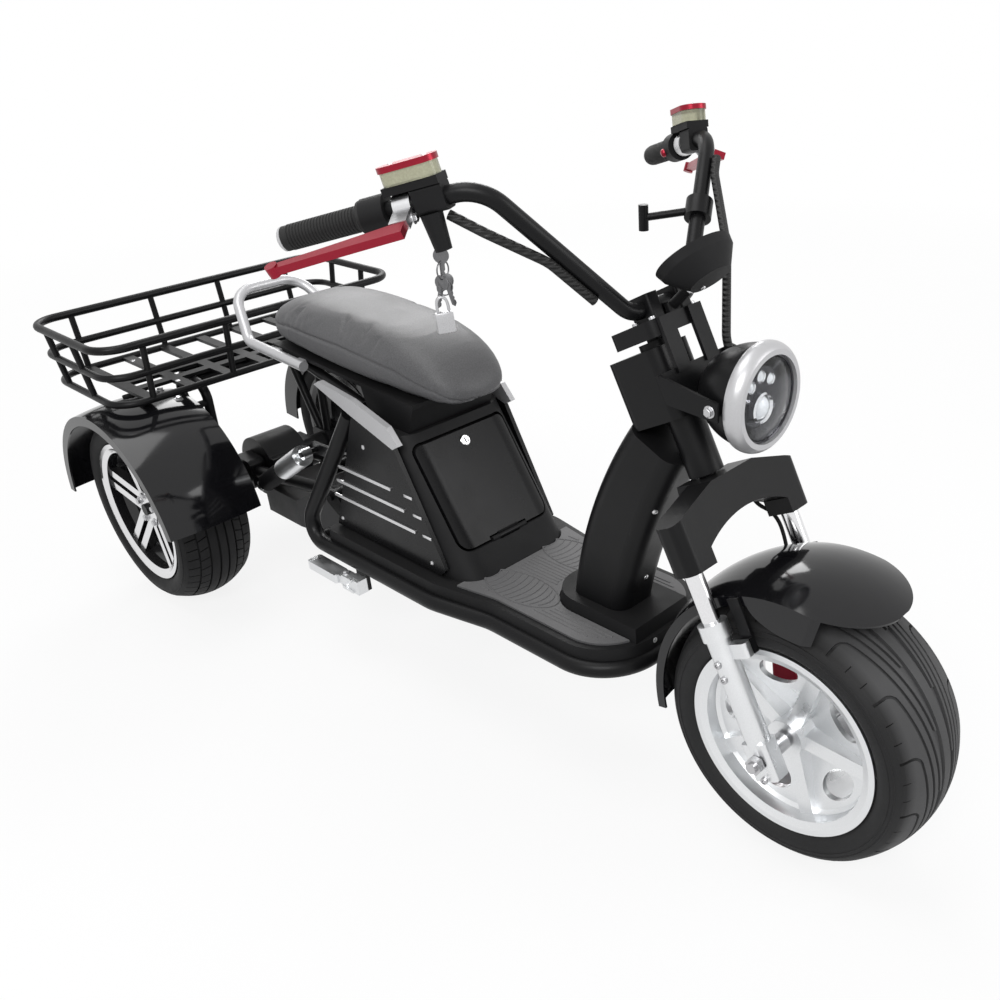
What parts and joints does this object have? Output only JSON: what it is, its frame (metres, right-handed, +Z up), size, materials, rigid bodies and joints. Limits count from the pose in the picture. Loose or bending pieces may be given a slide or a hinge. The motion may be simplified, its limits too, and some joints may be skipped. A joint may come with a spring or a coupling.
{
  "type": "electric cargo trike",
  "caption": "Stand-over electric cargo trike with a steered wide front wheel, padded seat, tube basket over the rear axle, round headlamp, hinged battery door and folding foot pegs.",
  "frame": {"origin": "on the ground below the middle of the overall length, on the centre line", "axes": "+X forward, +Y to the rider's left, +Z up"},
  "size_m": [2.1379, 0.9212, 1.1102],
  "materials": {
    "tyre": "matt",
    "cast_silver": "satin cast",
    "wheel_black": "gloss with machined faces",
    "steel": "brushed",
    "chrome": "polished",
    "satin_black": "satin",
    "gloss_black": "gloss",
    "black_plastic": "matt",
    "grip_rubber": "matt",
    "mat_rubber": "ribbed",
    "red_paint": "gloss",
    "perch_silver": "satin",
    "clear_pot": "clear",
    "lamp_glass": "clear",
    "seat_leather": "soft grain",
    "trim_pale": "satin",
    "motor_grey": "matt"
  },
  "bodies": {
    "chassis": {"basket_back": "satin_black", "basket_floor": "satin_black", "basket_front": "satin_black", "basket_sides": "satin_black", "battery_box": "black_plastic", "battery_pack": "black_plastic", "cross_tubes": "satin_black", "deck_pan": "black_plastic", "drive_motor": "motor_grey", "floor_mat": "mat_rubber", "grab_rail": "perch_silver", "main_frame": "satin_black", "neck": "satin_black", "panel_strips": "chrome", "peg_mounts": "cast_silver", "rear_axle": "steel", "rear_carrier": "satin_black", "rear_fender_left": "gloss_black", "rear_fender_right": "gloss_black", "seat": "seat_leather", "seat_base": "black_plastic", "seat_trims": "trim_pale", "shock_bodies": "cast_silver", "shock_springs": "satin_black", "side_panels": "gloss_black", "swing_arm": "satin_black", "upper_frame": "satin_black"},
    "steering": {"fork_yoke": "satin_black", "fork_stanchions": "chrome", "fork_legs": "cast_silver", "front_axle": "steel", "front_fender": "gloss_black", "fender_stays": "satin_black", "front_caliper": "red_paint", "upper_clamp": "satin_black", "handlebar": "satin_black", "grips": "grip_rubber", "perches": "perch_silver", "reservoirs": "clear_pot", "reservoir_caps": "red_paint", "levers": "red_paint", "lamp_bowl": "gloss_black", "lamp_ring": "chrome", "lamp_glass": "lamp_glass", "lamp_bracket": "satin_black", "instrument_pod": "black_plastic", "control_pods": "black_plastic", "bar_holder": "satin_black", "cable_looms": "black_plastic"},
    "front_wheel": {"front_tyre": "tyre", "front_rim": "cast_silver", "front_brake_disc": "steel"},
    "rear_wheel_right": {"rear_tyre_right": "tyre", "rear_rim_right": "wheel_black"},
    "rear_wheel_left": {"rear_tyre_left": "tyre", "rear_rim_left": "wheel_black"},
    "battery_door": {"battery_door": "gloss_black"},
    "peg_right": {"peg_right": "cast_silver"},
    "peg_left": {"peg_left": "cast_silver"}
  },
  "joints": [
    {"name": "steering_turn", "type": "hinge", "parent": "chassis", "child": "steering", "pos_m": [0.8114, 0, 0.22801], "axis": [-0.454, 0, 0.891], "range_deg": [-40, 40]},
    {"name": "front_wheel_spin", "type": "hinge", "parent": "steering", "child": "front_wheel", "pos_m": [0.831, 0, 0.238], "axis": [0, 1, 0], "continuous": true},
    {"name": "rear_wheel_right_spin", "type": "hinge", "parent": "chassis", "child": "rear_wheel_right", "pos_m": [-0.769, -0.29, 0.238], "axis": [0, 1, 0], "continuous": true},
    {"name": "rear_wheel_left_spin", "type": "hinge", "parent": "chassis", "child": "rear_wheel_left", "pos_m": [-0.769, 0.29, 0.238], "axis": [0, 1, 0], "continuous": true},
    {"name": "battery_door_open", "type": "hinge", "parent": "chassis", "child": "battery_door", "pos_m": [0.12136, 0, 0.337], "axis": [0, 1, 0], "range_deg": [0, 75]},
    {"name": "peg_right_fold", "type": "hinge", "parent": "chassis", "child": "peg_right", "pos_m": [-0.178, -0.203, 0.204], "axis": [0, 0, 1], "range_deg": [0, 90]},
    {"name": "peg_left_fold", "type": "hinge", "parent": "chassis", "child": "peg_left", "pos_m": [-0.178, 0.203, 0.204], "axis": [0, 0, -1], "range_deg": [0, 90]}
  ]
}
